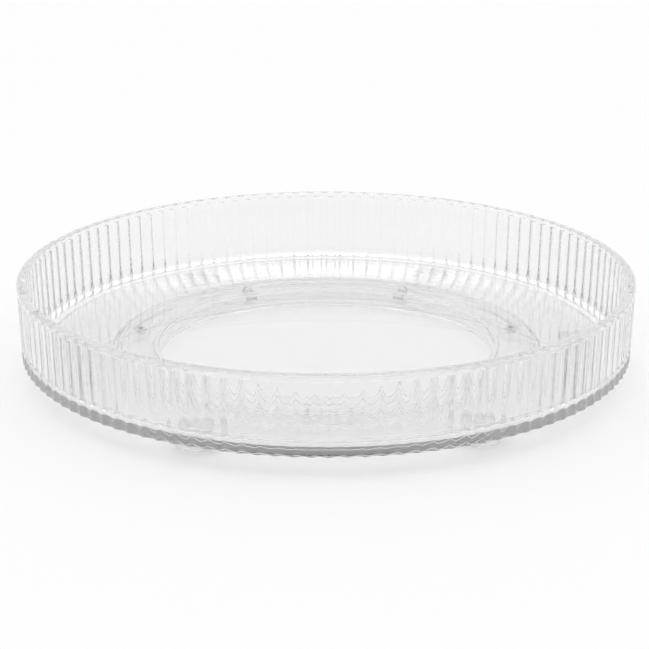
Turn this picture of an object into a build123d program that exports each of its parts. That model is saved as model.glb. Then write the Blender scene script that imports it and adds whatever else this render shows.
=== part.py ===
from build123d import *
import os
from math import cos, pi, sin

# Clear fluted lazy susan turntable.
#
# A deep round tray turns on a ring of clear balls.  The balls run in a channel
# moulded into a ring-shaped base and are spaced by a flat cage.  A rib under the
# tray snaps into the channel.  Six soft feet press onto spigots under the base.
#
# Millimetres, +Z up.  The origin is the centre of the footprint, on the table.

# Whole object
TRAY_RADIUS = 146.0          # outside of the rim
RIM_Z = 45.5                 # top of the rim above the table
TRAY_UNDER_Z = 9.3           # flat underside of the tray above the table
FLOOR_THICKNESS = 2.5

# Tray wall
WALL_LEAN = 1.1              # the wall leans in by this much from rim to underside
WALL_THICKNESS = 4.5
RIM_BAND = 2.4               # plain band above the flutes
RIM_ROUND = 0.8
FLOOR_FILLET = 5.0
FLUTE_COUNT = 120
FLUTE_DEPTH = 0.8
RIDGE_SHARE = 0.33           # share of each pitch that is ridge; the rest is flute
FLUTE_PHASE = 0.5            # degrees from +X to the first ridge

# Ball race
BALL_COUNT = 7
BALL_DIAMETER = 6.0
BALL_PLAY = 0.1              # gap above and below each ball
BALL_CIRCLE = 93.4           # radius of the circle of ball centres
BALL_PHASE = 13.3            # degrees from +X to the first ball
CHANNEL_INNER = 82.9
CHANNEL_OUTER = 100.6
INNER_WALL = 2.7
OUTER_WALL = 2.0
PLATE_THICKNESS = 2.0
RUNNING_GAP = 0.3            # between parts that turn past each other

# Cage
CAGE_THICKNESS = 1.6
CAGE_SIDE_GAP = 0.8
CAGE_OUTER = 98.6
POCKET_PLAY = 0.25           # around each ball

# Snap rib that centres the tray in the channel and keeps it on the base
SNAP_OVERLAP = 0.3
SNAP_HEIGHT = 0.6
RIB_THICKNESS = 1.6
RIB_DROP = 2.0

# Base flange and feet
FLANGE_RADIUS = 134.5
FLANGE_THICKNESS = 1.8
FOOT_COUNT = 6
FOOT_CIRCLE = 122.0
FOOT_PHASE = 3.0
FOOT_TOP_DIAMETER = 20.2
FOOT_BASE_DIAMETER = 18.2
FOOT_ROUND = 0.8
SPIGOT_DIAMETER = 11.6
SPIGOT_LENGTH = 4.2

# Worked-out levels and radii
FLOOR_Z = TRAY_UNDER_Z + FLOOR_THICKNESS
FLUTE_TOP_Z = RIM_Z - RIM_BAND
BALL_RADIUS = BALL_DIAMETER / 2
BALL_Z = TRAY_UNDER_Z - BALL_PLAY - BALL_RADIUS
TRACK_Z = BALL_Z - BALL_RADIUS - BALL_PLAY
BASE_TOP_Z = TRAY_UNDER_Z - RUNNING_GAP
FLANGE_Z = BASE_TOP_Z - FLANGE_THICKNESS
LIP_RADIUS = CHANNEL_OUTER - RUNNING_GAP - SNAP_OVERLAP
RIB_OUTER = LIP_RADIUS - RUNNING_GAP
RIB_Z = TRAY_UNDER_Z - RIB_DROP


def wall_radius(z):
    """Outside radius of the leaning wall at height z, at the ridges between flutes."""
    lean_per_mm = WALL_LEAN / (RIM_Z - TRAY_UNDER_Z)
    return TRAY_RADIUS - lean_per_mm * (RIM_Z - z)


def revolved(*outline):
    """Solid of revolution about Z from a closed outline of (radius, z) points."""
    wire = Polyline(*[(radius, 0, z) for radius, z in outline], close=True)
    return revolve(make_face(wire), Axis.Z)


def ring(inner, outer, bottom, top):
    """Plain ring with a rectangular section."""
    return revolved((inner, bottom), (outer, bottom), (outer, top), (inner, top))


def around(count, radius, phase):
    """Places spaced evenly on a circle."""
    return PolarLocations(radius, count, start_angle=phase)


def edges_at(solid, radius, z):
    """Circular edges of a solid at one radius and height."""
    circles = solid.edges().filter_by(GeomType.CIRCLE)
    near = 0.01
    return circles.filter_by(
        lambda e: abs(e.radius - radius) < near and abs(e.arc_center.Z - z) < near
    )


def fluted_face(z):
    """Outline of the wall at height z: round flutes that flow into narrower round ridges."""
    crown = wall_radius(z)
    pitch = 2 * pi / FLUTE_COUNT
    side_depth = FLUTE_DEPTH * RIDGE_SHARE
    start = FLUTE_PHASE * pi / 180

    def at(depth, steps):
        angle = start + steps * pitch
        return ((crown - depth) * cos(angle), (crown - depth) * sin(angle), z)

    half_ridge = RIDGE_SHARE / 2
    outline = []
    for i in range(FLUTE_COUNT):
        left, right = at(side_depth, i - half_ridge), at(side_depth, i + half_ridge)
        next_left = at(side_depth, i + 1 - half_ridge)
        outline.append(ThreePointArc(left, at(0, i), right))
        outline.append(ThreePointArc(right, at(FLUTE_DEPTH, i + 0.5), next_left))
    return make_face(Wire(outline))


def rim_band():
    """Plain band round the top of the wall, with its outer edge rounded."""
    band = revolved(
        (0, FLUTE_TOP_Z), (wall_radius(FLUTE_TOP_Z), FLUTE_TOP_Z), (TRAY_RADIUS, RIM_Z), (0, RIM_Z)
    )
    return fillet(edges_at(band, TRAY_RADIUS, RIM_Z), RIM_ROUND)


def bowl():
    """Space inside the tray, open at the top, with a round corner at the floor."""
    mouth = TRAY_RADIUS - WALL_THICKNESS
    foot = wall_radius(FLOOR_Z) - WALL_THICKNESS
    above = RIM_Z + RIM_ROUND
    space = revolved((0, FLOOR_Z), (foot, FLOOR_Z), (mouth, RIM_Z), (mouth, above), (0, above))
    return fillet(edges_at(space, foot, FLOOR_Z), FLOOR_FILLET)


def snap_rib():
    """Rib under the tray floor that turns just inside the channel; its bead hooks the lip."""
    rib = ring(RIB_OUTER - RIB_THICKNESS, RIB_OUTER, RIB_Z, TRAY_UNDER_Z)
    bead = ring(RIB_OUTER, LIP_RADIUS + SNAP_OVERLAP, RIB_Z, RIB_Z + SNAP_HEIGHT)
    return rib + bead


def make_tray():
    wall = loft([fluted_face(TRAY_UNDER_Z), fluted_face(FLUTE_TOP_Z)], ruled=True)
    tray = wall + rim_band() - bowl()
    mouth_edge = edges_at(tray, TRAY_RADIUS - WALL_THICKNESS, RIM_Z)
    return fillet(mouth_edge, RIM_ROUND) + snap_rib()


def make_base():
    """Channel for the balls with a snap lip, an outward flange and six spigots."""
    channel_bottom = TRACK_Z - PLATE_THICKNESS
    inside = CHANNEL_INNER - INNER_WALL
    outside = CHANNEL_OUTER + OUTER_WALL
    body = revolved(
        (inside, channel_bottom),
        (outside, channel_bottom),
        (outside, FLANGE_Z),
        (FLANGE_RADIUS, FLANGE_Z),
        (FLANGE_RADIUS, BASE_TOP_Z),
        (LIP_RADIUS, BASE_TOP_Z),
        (LIP_RADIUS, BASE_TOP_Z - SNAP_HEIGHT),
        (CHANNEL_OUTER, BASE_TOP_Z - SNAP_HEIGHT),
        (CHANNEL_OUTER, TRACK_Z),
        (CHANNEL_INNER, TRACK_Z),
        (CHANNEL_INNER, BASE_TOP_Z),
        (inside, BASE_TOP_Z),
    )
    spigot = Pos(0, 0, FLANGE_Z - SPIGOT_LENGTH) * Cylinder(
        SPIGOT_DIAMETER / 2,
        SPIGOT_LENGTH + FLANGE_THICKNESS / 2,
        align=(Align.CENTER, Align.CENTER, Align.MIN),
    )
    return body + [place * spigot for place in around(FOOT_COUNT, FOOT_CIRCLE, FOOT_PHASE)]


def make_cage():
    """Flat ring, level with the ball centres, with one pocket for each ball."""
    bottom = BALL_Z - CAGE_THICKNESS / 2
    cage = ring(CHANNEL_INNER + CAGE_SIDE_GAP, CAGE_OUTER, bottom, bottom + CAGE_THICKNESS)
    pocket = Pos(0, 0, BALL_Z) * Cylinder(BALL_RADIUS + POCKET_PLAY, CAGE_THICKNESS * 2)
    return cage - [place * pocket for place in around(BALL_COUNT, BALL_CIRCLE, BALL_PHASE)]


def make_foot():
    """Soft tapered foot with a blind socket for the spigot."""
    foot = revolved(
        (0, 0),
        (FOOT_BASE_DIAMETER / 2, 0),
        (FOOT_TOP_DIAMETER / 2, FLANGE_Z),
        (SPIGOT_DIAMETER / 2, FLANGE_Z),
        (SPIGOT_DIAMETER / 2, FLANGE_Z - SPIGOT_LENGTH),
        (0, FLANGE_Z - SPIGOT_LENGTH),
    )
    return fillet(edges_at(foot, FOOT_BASE_DIAMETER / 2, 0), FOOT_ROUND)


def make_ball():
    return Pos(0, 0, BALL_Z) * Sphere(BALL_RADIUS)


def write(shape, node):
    export_step(shape, f"parts/{node}.step")


os.makedirs("parts", exist_ok=True)
write(make_tray(), "tray")
write(make_base(), "base_ring")
write(make_cage(), "ball_cage")
for number, place in enumerate(around(BALL_COUNT, BALL_CIRCLE, BALL_PHASE), start=1):
    write(place * make_ball(), f"ball_{number}")
for number, place in enumerate(around(FOOT_COUNT, FOOT_CIRCLE, FOOT_PHASE), start=1):
    write(place * make_foot(), f"foot_{number}")
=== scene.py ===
"""Looks for the clear fluted lazy susan: fine meshes, clear materials, a white studio and the camera."""

from math import atan, cos, pi, radians, sin, sqrt

import bpy
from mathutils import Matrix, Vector


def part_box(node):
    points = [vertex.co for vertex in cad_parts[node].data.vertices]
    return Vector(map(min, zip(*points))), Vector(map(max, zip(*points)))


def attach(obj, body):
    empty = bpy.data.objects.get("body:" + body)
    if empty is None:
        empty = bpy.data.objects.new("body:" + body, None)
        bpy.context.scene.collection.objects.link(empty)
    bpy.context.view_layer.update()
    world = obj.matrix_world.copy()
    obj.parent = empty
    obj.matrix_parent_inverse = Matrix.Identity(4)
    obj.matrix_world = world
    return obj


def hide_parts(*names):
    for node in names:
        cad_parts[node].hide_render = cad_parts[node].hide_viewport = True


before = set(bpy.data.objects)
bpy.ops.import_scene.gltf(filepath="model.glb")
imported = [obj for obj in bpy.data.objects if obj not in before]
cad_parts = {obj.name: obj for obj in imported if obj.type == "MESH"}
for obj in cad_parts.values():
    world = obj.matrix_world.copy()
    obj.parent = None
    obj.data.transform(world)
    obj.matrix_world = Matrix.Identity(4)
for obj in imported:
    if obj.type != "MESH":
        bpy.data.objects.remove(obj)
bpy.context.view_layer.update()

MM = 0.001

# Tray, in metres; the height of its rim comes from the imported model
RIM_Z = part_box("tray")[1].z
UNDER_Z = 9.3 * MM
TRAY_RADIUS = 146.0 * MM
FLOOR_Z = 11.8 * MM
WALL_LEAN = 1.1 * MM
WALL_THICKNESS = 4.5 * MM
RIM_BAND = 2.4 * MM
RUN_OUT = 0.6 * MM
RIM_ROUND = 0.8 * MM
FLOOR_FILLET = 5.0 * MM
FLUTE_COUNT = 120
FLUTE_DEPTH = 0.8 * MM
RIDGE_SHARE = 0.33
FLUTE_PHASE = radians(0.5)
FLUTE_STEPS = 16
RIB_OUTER = 99.7 * MM
RIB_THICKNESS = 1.6 * MM
RIB_DROP = 2.0 * MM
SNAP_REACH = 0.6 * MM
SNAP_HEIGHT = 0.6 * MM

# Base ring, feet and balls
CHANNEL_INNER = 82.9 * MM
CHANNEL_OUTER = 100.6 * MM
INNER_WALL = 2.7 * MM
OUTER_WALL = 2.0 * MM
PLATE_THICKNESS = 2.0 * MM
TRACK_Z = 3.1 * MM
BASE_TOP_Z = 9.0 * MM
FLANGE_RADIUS = 134.5 * MM
FLANGE_Z = 7.2 * MM
CORNER = 0.25 * MM
FOOT_TOP_RADIUS = 10.1 * MM
FOOT_BASE_RADIUS = 9.1 * MM
FOOT_ROUND = 0.8 * MM
SPIGOT_RADIUS = 5.8 * MM
SPIGOT_LENGTH = 4.2 * MM
AIR_GAP = 0.08 * MM
ROUND_STEPS = 480
SPIGOT_STEPS = 64
FOOT_STEPS = 72
BALL_STEPS = 64
RUN_OUT_STEPS = 6
RIM_STEPS = 6
FILLET_STEPS = 12
SHARP_ANGLE = radians(28)

# Camera, as multiples of the rim radius and degrees
CAMERA_DISTANCE = 6.5
CAMERA_ELEVATION = 17.21
CAMERA_LENS = 110.55
CAMERA_AIM = Vector((-0.8 * MM, 0.0, RIM_Z - 27.2 * MM))

# Studio
TABLE_Z = -0.2 * MM
TABLE_WHITE = 0.77
TOP_LEVEL = 1.8
FRONT_LEVEL = 0.5
ABSORPTION = 7.0
BASE_ABSORPTION = 10.0
FOOT_ABSORPTION = 15.0
BALL_ABSORPTION = 60.0
BOUNCES = 64
SHARP_CAUSTICS = 0.0  # no filtering of light that passes through the clear pieces
TOP_START = 0.5
TOP_END = 0.9
FRONT_START = -0.95
FRONT_END = -0.1


def arc(centre, radius, start, end, steps):
    """Points (radius, z) along a circular arc in the section plane; angles in degrees."""
    points = []
    for i in range(steps + 1):
        angle = radians(start + (end - start) * i / steps)
        points.append((centre[0] + radius * cos(angle), centre[1] + radius * sin(angle)))
    return points


def wall_radius(z):
    """Outside radius of the leaning wall at height z, at the ridges between flutes."""
    return TRAY_RADIUS - WALL_LEAN * (RIM_Z - z) / (RIM_Z - UNDER_Z)


def flute_dip(u):
    """Depth of the wall's surface at u, from 0 at one ridge to 1 at the next, round all the way."""
    half_pitch = pi * TRAY_RADIUS / FLUTE_COUNT
    steepest = 2 * atan(FLUTE_DEPTH / half_pitch)
    from_ridge = min(u, 1 - u) * 2 * half_pitch
    ridge_half = RIDGE_SHARE * half_pitch
    if from_ridge < ridge_half:
        ridge_round = ridge_half / sin(steepest)
        return ridge_round - sqrt(ridge_round**2 - from_ridge**2)
    flute_round = (half_pitch - ridge_half) / sin(steepest)
    from_middle = half_pitch - from_ridge
    return FLUTE_DEPTH - flute_round + sqrt(flute_round**2 - from_middle**2)


def turned_mesh(name, section, steps, closed=False, dips=None, phase=0.0, centre=(0.0, 0.0)):
    """Mesh of a section of (radius, z, share of flute) points turned about a vertical line.

    A point at radius 0 becomes a single pole vertex.  With closed, the section's
    last point joins its first.
    """
    vertices, rings = [], []
    for radius, z, share in section:
        if radius == 0:
            rings.append([len(vertices)])
            vertices.append((centre[0], centre[1], z))
            continue
        start = len(vertices)
        for i in range(steps):
            dip = share * dips[i % len(dips)] if dips else 0.0
            angle = phase + 2 * pi * i / steps
            reach = radius - dip
            vertices.append((centre[0] + reach * cos(angle), centre[1] + reach * sin(angle), z))
        rings.append(list(range(start, start + steps)))
    faces = []
    pairs = list(zip(rings, rings[1:] + rings[:1]))
    if not closed:
        pairs = pairs[:-1]
    for low, high in pairs:
        for i in range(steps):
            j = (i + 1) % steps
            if len(low) == 1:
                faces.append((low[0], high[j], high[i]))
            elif len(high) == 1:
                faces.append((low[i], low[j], high[0]))
            else:
                faces.append((low[i], low[j], high[j], high[i]))
    mesh = bpy.data.meshes.new(name)
    mesh.from_pydata(vertices, [], faces)
    mesh.validate()
    mesh.shade_smooth()
    mesh.set_sharp_from_angle(angle=SHARP_ANGLE)
    piece = bpy.data.objects.new(name, mesh)
    bpy.context.scene.collection.objects.link(piece)
    return piece


def plain(points):
    """Section points with no flute."""
    return [(radius, z, 0.0) for radius, z in points]


def tray_section():
    """Half section of the tray from the middle of its underside, out and over, to the middle of its floor."""
    rib_bottom = UNDER_Z - RIB_DROP
    rib_inner = RIB_OUTER - RIB_THICKNESS
    section = plain(
        [
            (0, UNDER_Z),
            (rib_inner, UNDER_Z),
            (rib_inner, rib_bottom + CORNER),
            (rib_inner + CORNER, rib_bottom),
            (RIB_OUTER + SNAP_REACH - CORNER, rib_bottom),
            (RIB_OUTER + SNAP_REACH, rib_bottom + CORNER),
            (RIB_OUTER, rib_bottom + SNAP_HEIGHT),
            (RIB_OUTER, UNDER_Z),
            (wall_radius(UNDER_Z) - 3 * CORNER - FLUTE_DEPTH, UNDER_Z),
        ]
    )
    section.append((wall_radius(UNDER_Z) - CORNER, UNDER_Z, 1.0))
    flute_top = RIM_Z - RIM_BAND - RUN_OUT
    lowest = UNDER_Z + CORNER
    ends = (0, CORNER, 4 * CORNER)
    for z in [lowest + step for step in ends] + [flute_top - step for step in reversed(ends)]:
        section.append((wall_radius(z), z, 1.0))
    for i in range(1, RUN_OUT_STEPS + 1):
        part = i / RUN_OUT_STEPS
        z = flute_top + RUN_OUT * part
        section.append((wall_radius(z), z, (1 + cos(pi * part)) / 2))
    rim_corner = (TRAY_RADIUS - RIM_ROUND, RIM_Z - RIM_ROUND)
    mouth = TRAY_RADIUS - WALL_THICKNESS
    inner_corner = (mouth + RIM_ROUND, RIM_Z - RIM_ROUND)
    top = arc(rim_corner, RIM_ROUND, 0, 90, RIM_STEPS) + arc(inner_corner, RIM_ROUND, 90, 180, RIM_STEPS)
    foot = wall_radius(FLOOR_Z) - WALL_THICKNESS
    for z in (RIM_Z - RIM_ROUND - CORNER, FLOOR_Z + FLOOR_FILLET + CORNER):
        top.append((mouth + (foot - mouth) * (RIM_Z - z) / (RIM_Z - FLOOR_Z), z))
    floor_corner = (foot - FLOOR_FILLET, FLOOR_Z + FLOOR_FILLET)
    top += arc(floor_corner, FLOOR_FILLET, 0, -90, FILLET_STEPS)
    top.append((0, FLOOR_Z))
    return section + plain(top)


def base_section():
    """Closed half section of the base ring: ball channel with its snap lip, and flange."""
    bottom = TRACK_Z - PLATE_THICKNESS
    inside = CHANNEL_INNER - INNER_WALL
    outside = CHANNEL_OUTER + OUTER_WALL
    lip = CHANNEL_OUTER - SNAP_REACH
    return plain(
        [
            (inside + CORNER, bottom),
            (outside - CORNER, bottom),
            (outside, bottom + CORNER),
            (outside, FLANGE_Z),
            (FLANGE_RADIUS - CORNER, FLANGE_Z),
            (FLANGE_RADIUS, FLANGE_Z + CORNER),
            (FLANGE_RADIUS, BASE_TOP_Z - CORNER),
            (FLANGE_RADIUS - CORNER, BASE_TOP_Z),
            (lip + CORNER, BASE_TOP_Z),
            (lip, BASE_TOP_Z - CORNER),
            (CHANNEL_OUTER, BASE_TOP_Z - SNAP_HEIGHT),
            (CHANNEL_OUTER, TRACK_Z + CORNER),
            (CHANNEL_OUTER - CORNER, TRACK_Z),
            (CHANNEL_INNER + CORNER, TRACK_Z),
            (CHANNEL_INNER, TRACK_Z + CORNER),
            (CHANNEL_INNER, BASE_TOP_Z - CORNER),
            (CHANNEL_INNER - CORNER, BASE_TOP_Z),
            (inside + CORNER, BASE_TOP_Z),
            (inside, BASE_TOP_Z - CORNER),
            (inside, bottom + CORNER),
        ]
    )


def spigot_section():
    """Half section of a spigot, which a foot presses onto; its top is buried in the flange."""
    tip = FLANGE_Z - SPIGOT_LENGTH
    top = (FLANGE_Z + BASE_TOP_Z) / 2
    return plain(
        [
            (0, tip),
            (SPIGOT_RADIUS - CORNER, tip),
            (SPIGOT_RADIUS, tip + CORNER),
            (SPIGOT_RADIUS, top),
            (0, top),
        ]
    )


def foot_section():
    """Half section of a foot with its socket, from the middle of the sole to the socket's floor."""
    lean = (FOOT_TOP_RADIUS - FOOT_BASE_RADIUS) / FLANGE_Z
    top = FLANGE_Z - AIR_GAP
    socket = FLANGE_Z - SPIGOT_LENGTH - AIR_GAP
    round_centre = (FOOT_BASE_RADIUS - FOOT_ROUND + lean * FOOT_ROUND, FOOT_ROUND)
    points = [(0, 0)]
    points += arc(round_centre, FOOT_ROUND, -90, -7, 6)
    points.append((FOOT_TOP_RADIUS - CORNER, top - CORNER))
    points.append((FOOT_TOP_RADIUS - 2 * CORNER, top))
    points.append((SPIGOT_RADIUS + AIR_GAP + CORNER, top))
    points.append((SPIGOT_RADIUS + AIR_GAP, top - CORNER))
    points.append((SPIGOT_RADIUS + AIR_GAP, socket))
    points.append((0, socket))
    return plain(points)


def clear_material(name, tint, ior, gloss_low, gloss_high, absorption):
    """Clear moulded plastic or glass with faint flow marks; absorption is per metre of path inside."""
    material = bpy.data.materials.new(name)
    material.use_nodes = True
    nodes, links = material.node_tree.nodes, material.node_tree.links
    shader = nodes["Principled BSDF"]
    shader.inputs["Base Color"].default_value = (*tint, 1)
    shader.inputs["IOR"].default_value = ior
    shader.inputs["Transmission Weight"].default_value = 1.0
    place = nodes.new("ShaderNodeTexCoord")
    flow = nodes.new("ShaderNodeTexNoise")
    flow.inputs["Scale"].default_value = 18.0
    flow.inputs["Detail"].default_value = 3.0
    links.new(place.outputs["Object"], flow.inputs["Vector"])
    gloss = nodes.new("ShaderNodeMapRange")
    gloss.inputs["From Min"].default_value = 0.35
    gloss.inputs["From Max"].default_value = 0.75
    gloss.inputs["To Min"].default_value = gloss_low
    gloss.inputs["To Max"].default_value = gloss_high
    links.new(flow.outputs["Fac"], gloss.inputs["Value"])
    links.new(gloss.outputs["Result"], shader.inputs["Roughness"])
    if absorption:
        inside = nodes.new("ShaderNodeVolumeAbsorption")
        inside.inputs["Color"].default_value = (0.5, 0.5, 0.5, 1)
        inside.inputs["Density"].default_value = absorption
        links.new(inside.outputs["Volume"], nodes["Material Output"].inputs["Volume"])
    return material


def paint(piece, material):
    piece.data.materials.clear()
    piece.data.materials.append(material)


def settle(piece, body, node, material):
    """Say what a piece rides on, stands for and is made of."""
    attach(piece, body)
    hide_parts(node)
    paint(piece, material)


def centre_of(node):
    low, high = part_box(node)
    return ((low.x + high.x) / 2, (low.y + high.y) / 2)


def make_tray():
    dips = [flute_dip(i / FLUTE_STEPS) for i in range(FLUTE_STEPS)]
    tray = turned_mesh(
        "fluted_tray", tray_section(), FLUTE_COUNT * FLUTE_STEPS, dips=dips, phase=FLUTE_PHASE
    )
    plastic = clear_material("clear_tray_plastic", (0.95, 0.95, 0.95), 1.49, 0.0, 0.01, ABSORPTION)
    settle(tray, "tray", "tray", plastic)


def join_solid(piece, extra):
    """Merge an overlapping solid into a piece, as one moulding."""
    union = piece.modifiers.new("join", "BOOLEAN")
    union.operation = "UNION"
    union.solver = "EXACT"
    union.object = extra
    bpy.context.view_layer.objects.active = piece
    bpy.ops.object.modifier_apply(modifier="join")
    bpy.data.objects.remove(extra, do_unlink=True)


def make_base_and_feet():
    plastic = clear_material("clear_base_plastic", (0.98, 0.98, 0.98), 1.49, 0.0, 0.01, BASE_ABSORPTION)
    rubber = clear_material("soft_foot_rubber", (0.94, 0.94, 0.94), 1.45, 0.02, 0.06, FOOT_ABSORPTION)
    base = turned_mesh("base_channel", base_section(), ROUND_STEPS, closed=True)
    for node in sorted(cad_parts):
        if node.startswith("foot_"):
            spigot = turned_mesh(f"spigot_{node}", spigot_section(), SPIGOT_STEPS, centre=centre_of(node))
            join_solid(base, spigot)
            foot = turned_mesh(f"soft_{node}", foot_section(), FOOT_STEPS, centre=centre_of(node))
            settle(foot, "base", node, rubber)
    base.data.shade_smooth()
    base.data.set_sharp_from_angle(angle=SHARP_ANGLE)
    settle(base, "base", "base_ring", plastic)


def make_race():
    """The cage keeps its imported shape; each ball is a finer one in the same place."""
    cage_plastic = clear_material("clear_cage_plastic", (0.99, 0.99, 0.99), 1.49, 0.01, 0.05, ABSORPTION)
    glass = clear_material("clear_ball_glass", (0.8, 0.8, 0.8), 1.52, 0.0, 0.01, BALL_ABSORPTION)
    paint(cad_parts["ball_cage"], cage_plastic)
    for node in sorted(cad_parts):
        if node.startswith("ball_") and node != "ball_cage":
            low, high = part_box(node)
            radius = (high.z - low.z) / 2
            half = arc((0, (low.z + high.z) / 2), radius, -90, 90, 32)
            half = [(0, half[0][1])] + half[1:-1] + [(0, half[-1][1])]
            ball = turned_mesh(f"glass_{node}", plain(half), BALL_STEPS, centre=centre_of(node))
            settle(ball, node, node, glass)


def make_table():
    bpy.ops.mesh.primitive_plane_add(size=30, location=(0, 0, TABLE_Z))
    table = bpy.context.object
    table.name = "table_top"
    material = bpy.data.materials.new("white_table")
    material.use_nodes = True
    shader = material.node_tree.nodes["Principled BSDF"]
    shader.inputs["Base Color"].default_value = (TABLE_WHITE, TABLE_WHITE, TABLE_WHITE, 1)
    shader.inputs["Roughness"].default_value = 0.6
    shader.inputs["Specular IOR Level"].default_value = 0.1
    paint(table, material)


def make_light():
    """White surroundings: brightest overhead, darker on the camera's side."""
    world = bpy.data.worlds.new("studio")
    bpy.context.scene.world = world
    world.use_nodes = True
    nodes, links = world.node_tree.nodes, world.node_tree.links
    background = nodes["Background"]
    place = nodes.new("ShaderNodeTexCoord")
    split = nodes.new("ShaderNodeSeparateXYZ")
    links.new(place.outputs["Generated"], split.inputs["Vector"])

    def ramp(socket, start, end, low, high):
        node = nodes.new("ShaderNodeMapRange")
        node.interpolation_type = "SMOOTHSTEP"
        node.inputs["From Min"].default_value = start
        node.inputs["From Max"].default_value = end
        node.inputs["To Min"].default_value = low
        node.inputs["To Max"].default_value = high
        links.new(socket, node.inputs["Value"])
        return node.outputs["Result"]

    top = ramp(split.outputs["Z"], TOP_START, TOP_END, 1.0, TOP_LEVEL)
    front = ramp(split.outputs["Y"], FRONT_START, FRONT_END, FRONT_LEVEL, 1.0)
    level = nodes.new("ShaderNodeMath")
    level.operation = "MULTIPLY"
    links.new(top, level.inputs[0])
    links.new(front, level.inputs[1])
    links.new(level.outputs["Value"], background.inputs["Strength"])
    background.inputs["Color"].default_value = (1, 1, 1, 1)


def make_camera():
    data = bpy.data.cameras.new("camera")
    data.lens = CAMERA_LENS
    data.sensor_width = 36
    camera = bpy.data.objects.new("camera", data)
    elevation = radians(CAMERA_ELEVATION)
    reach = CAMERA_DISTANCE * TRAY_RADIUS
    camera.location = (0, -reach * cos(elevation), RIM_Z + reach * sin(elevation))
    camera.rotation_euler = (CAMERA_AIM - camera.location).to_track_quat("-Z", "Y").to_euler()
    bpy.context.scene.collection.objects.link(camera)
    bpy.context.scene.camera = camera


make_camera()
make_tray()
make_base_and_feet()
make_race()
make_table()
make_light()
bpy.context.scene.view_settings.view_transform = "Standard"
bpy.context.scene.cycles.max_bounces = BOUNCES
bpy.context.scene.cycles.transmission_bounces = BOUNCES
bpy.context.scene.cycles.glossy_bounces = BOUNCES
bpy.context.scene.cycles.blur_glossy = SHARP_CAUSTICS
